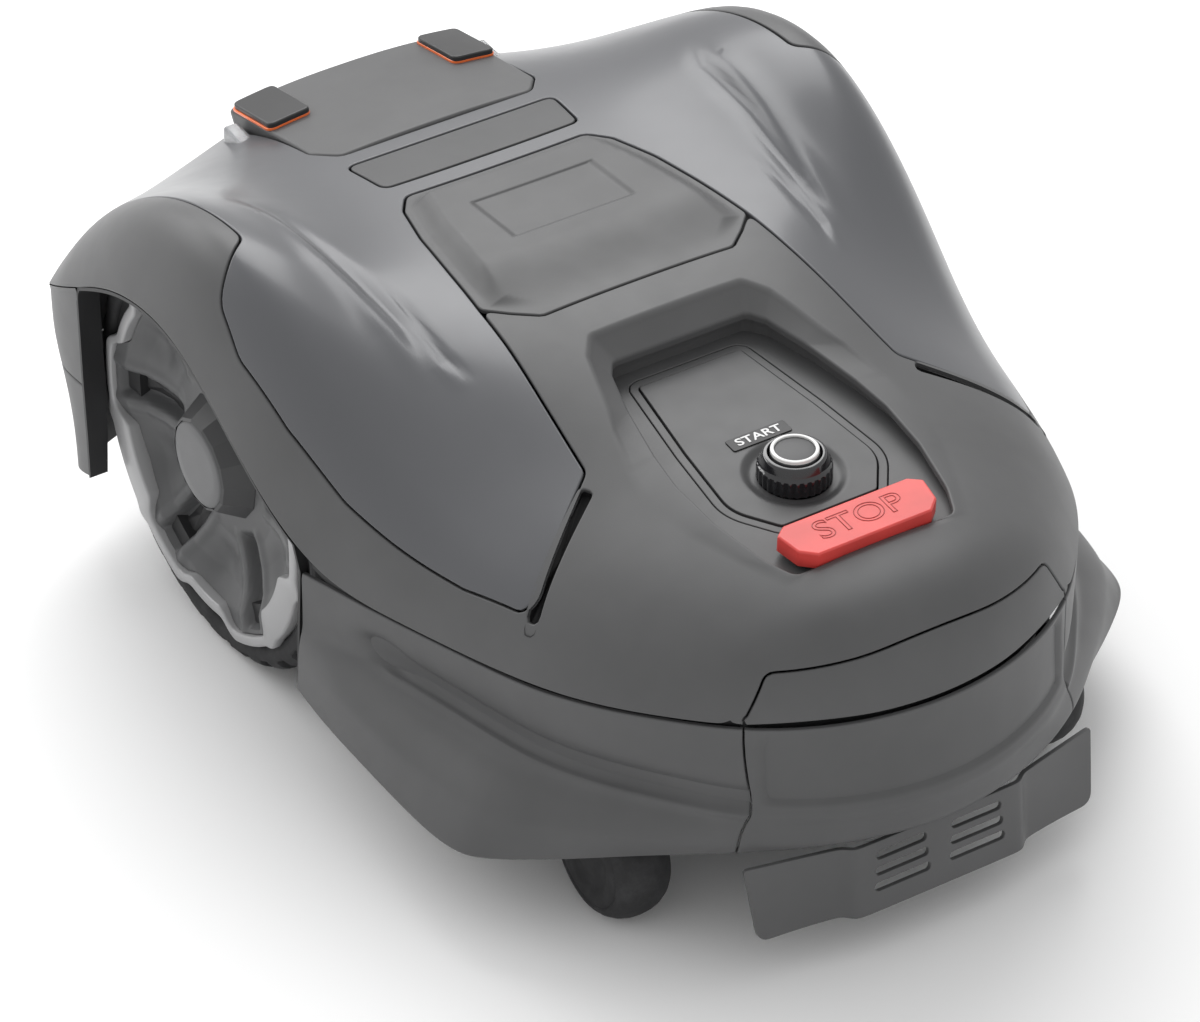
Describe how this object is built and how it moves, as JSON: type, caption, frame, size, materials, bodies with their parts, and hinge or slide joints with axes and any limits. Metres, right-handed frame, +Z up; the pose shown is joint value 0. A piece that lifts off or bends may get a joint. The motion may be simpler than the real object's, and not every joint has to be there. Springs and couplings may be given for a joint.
{
  "type": "robotic lawn mower",
  "caption": "Low domed mower on driven front wheels and rear swivel casters, with a floating cover, stop and start buttons and a height-set blade disc.",
  "frame": {"origin": "on the ground under the middle of the machine's box", "axes": "+Y driving direction (large wheels first), +Z up, +X to the right seen from behind"},
  "size_m": [0.5, 0.6999, 0.3102],
  "materials": {
    "body": "fine-grained matt moulded plastic",
    "gloss_panel": "metallic grey lacquer",
    "gloss_black": "polished black",
    "plate": "satin dark grey",
    "stop_red": "satin red",
    "label": "black with white letters",
    "white": "light ring",
    "orange": "orange trim",
    "lens": "clear moulded lens",
    "tyre": "moulded rubber",
    "wheel_plastic": "satin grey",
    "silver": "silver lacquer",
    "dark_plastic": "black moulded plastic",
    "seal": "soft black rubber",
    "steel": "ground steel",
    "brass": "bare brass",
    "battery_case": "dark blue-grey shrink case",
    "board": "green board",
    "motor_case": "dark painted case"
  },
  "bodies": {
    "chassis": {"chassis_tub": "dark_plastic", "lid_seal": "seal", "chassis_lid": "dark_plastic", "lid_screws": "steel", "battery": "battery_case", "main_board": "board", "charge_contacts": "brass", "height_guide": "dark_plastic", "height_motor": "motor_case", "guide_posts": "dark_plastic", "rubber_cushions": "seal", "wheel_motor_left": "motor_case", "wheel_motor_right": "motor_case"},
    "floating_frame": {"floating_frame": "dark_plastic"},
    "cover": {"upper_body": "body", "top_cover": "gloss_panel", "hatch": "body", "nameplate": "plate", "front_bridge": "body", "bridge_caps": "dark_plastic", "bridge_trims": "orange", "headlight_lenses": "lens", "front_bumper": "body", "rear_bumper": "body", "foot_guard": "body", "console_tray": "body", "console_plate": "plate", "start_label": "label", "button_collar": "gloss_black", "skirt_left": "body", "skirt_right": "body"},
    "start_button": {"start_button": "gloss_black", "start_ring": "white"},
    "stop_button": {"stop_button": "stop_red"},
    "cutting_unit": {"cutting_motor": "motor_case"},
    "height_screw": {"height_screw": "steel"},
    "blade_disc": {"blade_disc": "steel", "blade_screws": "steel"},
    "skid_plate": {"skid_plate": "dark_plastic"},
    "blade_1": {"blade_1": "steel"},
    "blade_2": {"blade_2": "steel"},
    "blade_3": {"blade_3": "steel"},
    "drive_wheel_left": {"tyre_left": "tyre", "wheel_rim_left": "wheel_plastic", "wheel_cover_left": "wheel_plastic", "wheel_trim_left": "silver", "hub_cap_left": "wheel_plastic", "wheel_shaft_left": "steel"},
    "caster_left": {"caster_fork_left": "dark_plastic", "caster_axle_left": "steel"},
    "caster_wheel_left": {"caster_wheel_left": "tyre"},
    "drive_wheel_right": {"tyre_right": "tyre", "wheel_rim_right": "wheel_plastic", "wheel_cover_right": "wheel_plastic", "wheel_trim_right": "silver", "hub_cap_right": "wheel_plastic", "wheel_shaft_right": "steel"},
    "caster_right": {"caster_fork_right": "dark_plastic", "caster_axle_right": "steel"},
    "caster_wheel_right": {"caster_wheel_right": "tyre"}
  },
  "joints": [
    {"name": "cover_lift", "type": "slide", "parent": "chassis", "child": "floating_frame", "axis": [0, 0, 1], "range_m": [0, 0.008]},
    {"name": "cover_bump", "type": "slide", "parent": "floating_frame", "child": "cover", "axis": [0, 1, 0], "range_m": [-0.006, 0.006], "stiffness_N_per_m": 1500},
    {"name": "stop_press", "type": "slide", "parent": "cover", "child": "stop_button", "axis": [0, 0, 1], "range_m": [-0.004, 0], "stiffness_N_per_m": 900},
    {"name": "start_press", "type": "slide", "parent": "cover", "child": "start_button", "axis": [0, 0, 1], "range_m": [-0.002, 0], "stiffness_N_per_m": 900},
    {"name": "cutting_height", "type": "slide", "parent": "chassis", "child": "cutting_unit", "axis": [0, 0, 1], "range_m": [-0.02, 0.02]},
    {"name": "height_screw_turn", "type": "hinge", "parent": "chassis", "child": "height_screw", "pos_m": [0.076, -0.015, 0.14], "axis": [0, 0, 1], "range_deg": [-1801, 1801]},
    {"name": "disc_spin", "type": "hinge", "parent": "cutting_unit", "child": "blade_disc", "pos_m": [0, -0.015, 0.044], "axis": [0, 0, 1], "continuous": true},
    {"name": "skid_plate_spin", "type": "hinge", "parent": "blade_disc", "child": "skid_plate", "pos_m": [0, -0.015, 0.03], "axis": [0, 0, 1], "continuous": true},
    {"name": "blade_1_swing", "type": "hinge", "parent": "blade_disc", "child": "blade_1", "pos_m": [0, 0.077, 0.04], "axis": [0, 0, 1], "continuous": true},
    {"name": "blade_2_swing", "type": "hinge", "parent": "blade_disc", "child": "blade_2", "pos_m": [-0.07967, -0.061, 0.04], "axis": [0, 0, 1], "continuous": true},
    {"name": "blade_3_swing", "type": "hinge", "parent": "blade_disc", "child": "blade_3", "pos_m": [0.07967, -0.061, 0.04], "axis": [0, 0, 1], "continuous": true},
    {"name": "drive_wheel_left_spin", "type": "hinge", "parent": "chassis", "child": "drive_wheel_left", "pos_m": [-0.2, 0.14, 0.14], "axis": [1, 0, 0], "continuous": true},
    {"name": "caster_left_swivel", "type": "hinge", "parent": "chassis", "child": "caster_left", "pos_m": [-0.152, -0.191, 0.12], "axis": [0, 0, 1], "continuous": true},
    {"name": "caster_left_roll", "type": "hinge", "parent": "caster_left", "child": "caster_wheel_left", "pos_m": [-0.152, -0.217, 0.043], "axis": [1, 0, 0], "continuous": true},
    {"name": "drive_wheel_right_spin", "type": "hinge", "parent": "chassis", "child": "drive_wheel_right", "pos_m": [0.2, 0.14, 0.14], "axis": [1, 0, 0], "continuous": true},
    {"name": "caster_right_swivel", "type": "hinge", "parent": "chassis", "child": "caster_right", "pos_m": [0.152, -0.191, 0.12], "axis": [0, 0, 1], "continuous": true},
    {"name": "caster_right_roll", "type": "hinge", "parent": "caster_right", "child": "caster_wheel_right", "pos_m": [0.152, -0.217, 0.043], "axis": [1, 0, 0], "continuous": true}
  ],
  "couplings": [
    {"joint": "height_screw_turn", "follows": "cutting_height", "rad_per_m": 1570.8}
  ]
}
